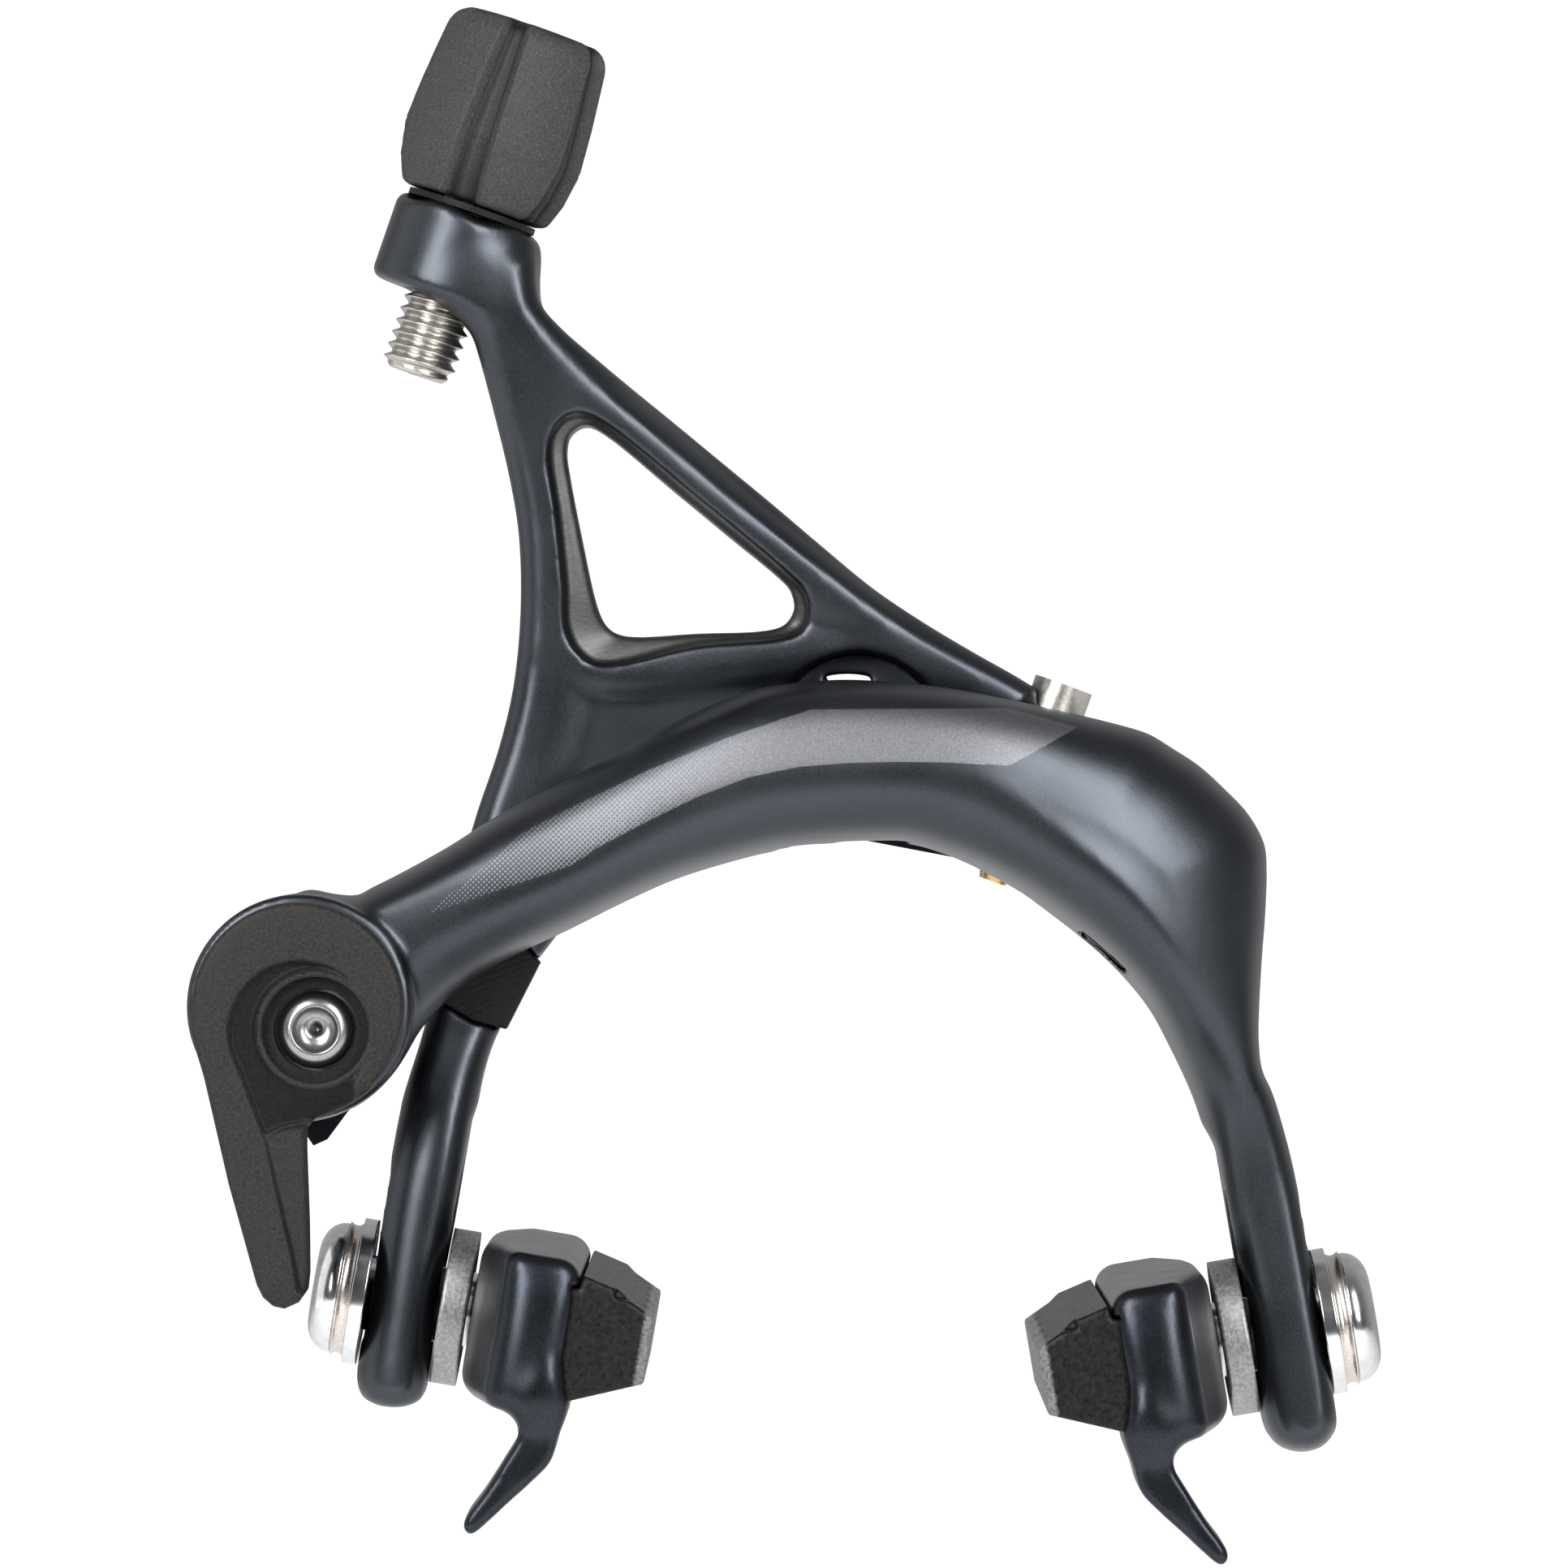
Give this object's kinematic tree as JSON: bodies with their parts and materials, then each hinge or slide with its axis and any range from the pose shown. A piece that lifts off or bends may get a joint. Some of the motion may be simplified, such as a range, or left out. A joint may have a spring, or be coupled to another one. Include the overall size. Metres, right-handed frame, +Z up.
{
  "type": "rim brake caliper",
  "caption": "Dual-pivot side-pull rim brake caliper with quick-release lever, barrel adjuster and cartridge shoes.",
  "frame": {"origin": "on the mounting bolt's axis at the plane where the caliper seats on the fork crown", "axes": "+Y along the mounting stud towards the fork, +Z up, +X to the right seen from in front of the bicycle"},
  "size_m": [0.0948, 0.07, 0.1231],
  "materials": {
    "arm_metal": "forged, satin dark blue-grey anodised and lacquered",
    "shoe_metal": "satin dark grey anodised",
    "chrome": "polished plate",
    "warm_steel": "zinc-plated, slightly warm",
    "threaded_steel": "bright machined thread",
    "blasted_aluminium": "sand-blasted",
    "bronze": "plain machined",
    "spring_steel": "drawn wire",
    "black_plastic": "moulded",
    "knob_plastic": "fine spark-eroded grain",
    "lever_plastic": "fine spark-eroded grain",
    "pad_rubber": "moulded with moulding skin"
  },
  "bodies": {
    "mount": {"mounting_bolt": "chrome", "seat_washer": "warm_steel", "pivot_bridge": "arm_metal", "front_thrust_washer": "bronze", "rear_thrust_washer": "bronze", "offset_bushing": "bronze", "offset_thrust_washer": "bronze", "return_spring": "spring_steel", "spring_clip": "black_plastic"},
    "front_arm": {"front_arm": "arm_metal", "offset_pivot_bolt": "warm_steel", "equalizer_pin": "warm_steel", "lever_washer": "warm_steel", "spring_insert": "black_plastic"},
    "rear_arm": {"rear_arm": "arm_metal", "centre_bushing": "bronze", "spring_guide": "black_plastic", "adjuster_seal": "black_plastic", "screw_sleeve": "black_plastic"},
    "centering_screw": {"centering_screw": "threaded_steel", "centering_screw_tip": "bronze"},
    "adjuster_knob": {"adjuster_knob": "knob_plastic", "adjuster_insert": "bronze"},
    "adjuster_stud": {"adjuster_stud": "threaded_steel"},
    "release_lever": {"release_lever": "lever_plastic", "release_cam": "warm_steel", "release_cap_ring": "black_plastic"},
    "cable_anchor": {"anchor_bolt": "chrome", "anchor_plate": "shoe_metal", "anchor_nut": "warm_steel"},
    "left_pad_bolt": {"left_pad_bolt": "chrome", "left_inner_washer": "chrome", "left_outer_washer": "warm_steel"},
    "left_shoe": {"left_spacer": "blasted_aluminium", "left_shoe_holder": "shoe_metal", "left_brake_pad": "pad_rubber", "left_pad_screw": "threaded_steel"},
    "right_pad_bolt": {"right_pad_bolt": "chrome", "right_inner_washer": "chrome", "right_outer_washer": "warm_steel"},
    "right_shoe": {"right_spacer": "blasted_aluminium", "right_shoe_holder": "shoe_metal", "right_brake_pad": "pad_rubber", "right_pad_screw": "threaded_steel"}
  },
  "joints": [
    {"name": "front_arm_pivot", "type": "hinge", "parent": "mount", "child": "front_arm", "pos_m": [0.0242, -0.012, -0.005], "axis": [0, 1, 0], "range_deg": [0, 9], "stiffness_Nm_per_rad": 2, "springref_deg": -20.05},
    {"name": "rear_arm_pivot", "type": "hinge", "parent": "mount", "child": "rear_arm", "pos_m": [0, -0.012, 0], "axis": [0, -1, 0], "range_deg": [0, 9]},
    {"name": "centering_screw_turn", "type": "hinge", "parent": "rear_arm", "child": "centering_screw", "pos_m": [0.01435, -0.013, -0.002], "axis": [0.342, 0, 0.9397], "range_deg": [-180, 180]},
    {"name": "adjuster_knob_turn", "type": "hinge", "parent": "rear_arm", "child": "adjuster_knob", "pos_m": [-0.03005, -0.015, 0.0443], "axis": [0.3256, 0, 0.9455], "range_deg": [0, 1800]},
    {"name": "adjuster_stud_travel", "type": "slide", "parent": "rear_arm", "child": "adjuster_stud", "axis": [0.3256, 0, 0.9455], "range_m": [0, 0.005]},
    {"name": "release_lever_swing", "type": "hinge", "parent": "front_arm", "child": "release_lever", "pos_m": [-0.0433, -0.03, -0.0193], "axis": [0, 1, 0], "range_deg": [0, 150]},
    {"name": "cable_anchor_turn", "type": "hinge", "parent": "release_lever", "child": "cable_anchor", "pos_m": [-0.0419, -0.024, -0.021], "axis": [0, 1, 0], "range_deg": [-150, 0]},
    {"name": "left_pad_height", "type": "slide", "parent": "rear_arm", "child": "left_pad_bolt", "axis": [0.1668, 0, 0.986], "range_m": [-0.0015, 0.0085]},
    {"name": "left_shoe_tilt", "type": "hinge", "parent": "left_pad_bolt", "child": "left_shoe", "pos_m": [-0.0355, -0.015, -0.0429], "axis": [0.986, 0, -0.1668], "range_deg": [-8, 8]},
    {"name": "right_pad_height", "type": "slide", "parent": "front_arm", "child": "right_pad_bolt", "axis": [-0.1668, 0, 0.986], "range_m": [-0.0015, 0.0085]},
    {"name": "right_shoe_tilt", "type": "hinge", "parent": "right_pad_bolt", "child": "right_shoe", "pos_m": [0.03495, -0.015, -0.0453], "axis": [-0.986, 0, -0.1668], "range_deg": [-8, 8]}
  ],
  "couplings": [
    {"joint": "rear_arm_pivot", "follows": "front_arm_pivot", "ratio": 1},
    {"joint": "adjuster_knob_turn", "follows": "adjuster_stud_travel", "rad_per_m": 6283.2},
    {"joint": "cable_anchor_turn", "follows": "release_lever_swing", "ratio": -1}
  ]
}
